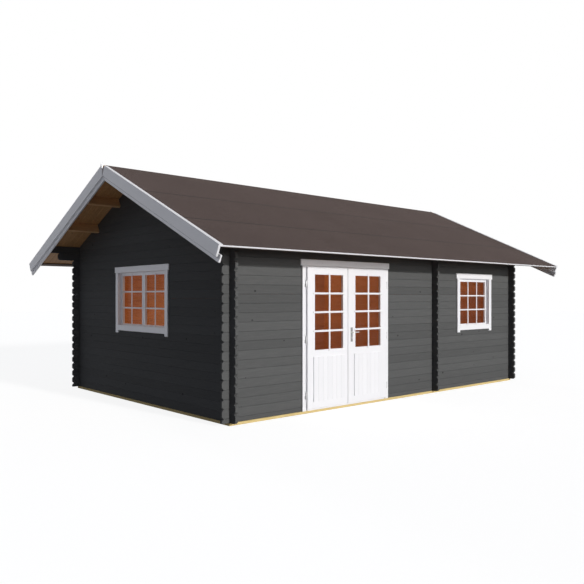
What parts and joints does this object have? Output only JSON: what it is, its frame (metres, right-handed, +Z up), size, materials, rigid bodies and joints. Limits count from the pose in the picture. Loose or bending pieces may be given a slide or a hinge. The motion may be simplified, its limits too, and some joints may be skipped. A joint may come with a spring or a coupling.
{
  "type": "log cabin",
  "caption": "Garden cabin of stacked notched logs with a felted ridge roof, wide eaves, an outward-opening glazed double door with a lever handle, and casement windows.",
  "frame": {"origin": "on the ground, under the middle of the ridge, at the middle of the roof's outline", "axes": "+Z is up, -Y is the way the long front wall with the door faces, and +X runs along the front wall to the right"},
  "size_m": [7.87, 5.768, 3.5354],
  "materials": {
    "grey_paint": "matt paint",
    "white_paint": "satin paint",
    "natural_wood": "planed",
    "treated_wood": "sawn",
    "felt": "mineral surfaced",
    "glass": "clear",
    "hinge_steel": "zinc plated",
    "handle_steel": "satin"
  },
  "bodies": {
    "building": {"bearers": "treated_wood", "floor_joists": "treated_wood", "floor": "natural_wood", "front_wall_left_logs": "grey_paint", "front_wall_right_logs": "grey_paint", "front_wall_top_logs": "grey_paint", "back_wall_logs": "grey_paint", "left_gable_logs": "grey_paint", "right_gable_logs": "grey_paint", "partition_logs": "grey_paint", "ridge_purlin": "natural_wood", "front_purlins": "natural_wood", "back_purlins": "natural_wood", "roof_deck_front": "natural_wood", "roof_deck_back": "natural_wood", "roof_felt_front": "felt", "roof_felt_back": "felt", "eave_trims": "white_paint", "bargeboards": "white_paint", "bargeboard_strips": "white_paint", "verge_caps": "white_paint", "door_frame": "white_paint", "door_threshold": "white_paint", "door_trim": "white_paint", "frame_hinges": "hinge_steel", "front_window_frame": "white_paint", "front_window_sash": "white_paint", "front_window_glass": "glass", "front_window_trim": "white_paint", "gable_window_frame": "white_paint", "gable_window_sash": "white_paint", "gable_window_glass": "glass", "gable_window_trim": "white_paint"},
    "left_door": {"left_door_leaf": "white_paint", "left_door_panel": "white_paint", "left_door_glass": "glass", "left_door_hinges": "hinge_steel"},
    "right_door": {"right_door_leaf": "white_paint", "right_door_panel": "white_paint", "right_door_glass": "glass", "right_door_hinges": "hinge_steel", "handle_plates": "handle_steel"},
    "lever": {"lever_handle": "handle_steel"}
  },
  "joints": [
    {"name": "left_door_hinge", "type": "hinge", "parent": "building", "child": "left_door", "pos_m": [-2.05, -2.269, 1.039], "axis": [0, 0, -1], "range_deg": [0, 110]},
    {"name": "right_door_hinge", "type": "hinge", "parent": "building", "child": "right_door", "pos_m": [-0.368, -2.269, 1.039], "axis": [0, 0, 1], "range_deg": [0, 110]},
    {"name": "lever_turn", "type": "hinge", "parent": "right_door", "child": "lever", "pos_m": [-1.162, -2.26, 1.085], "axis": [0, 1, 0], "range_deg": [0, 40], "stiffness_Nm_per_rad": 1.5, "springref_deg": -28.65}
  ]
}
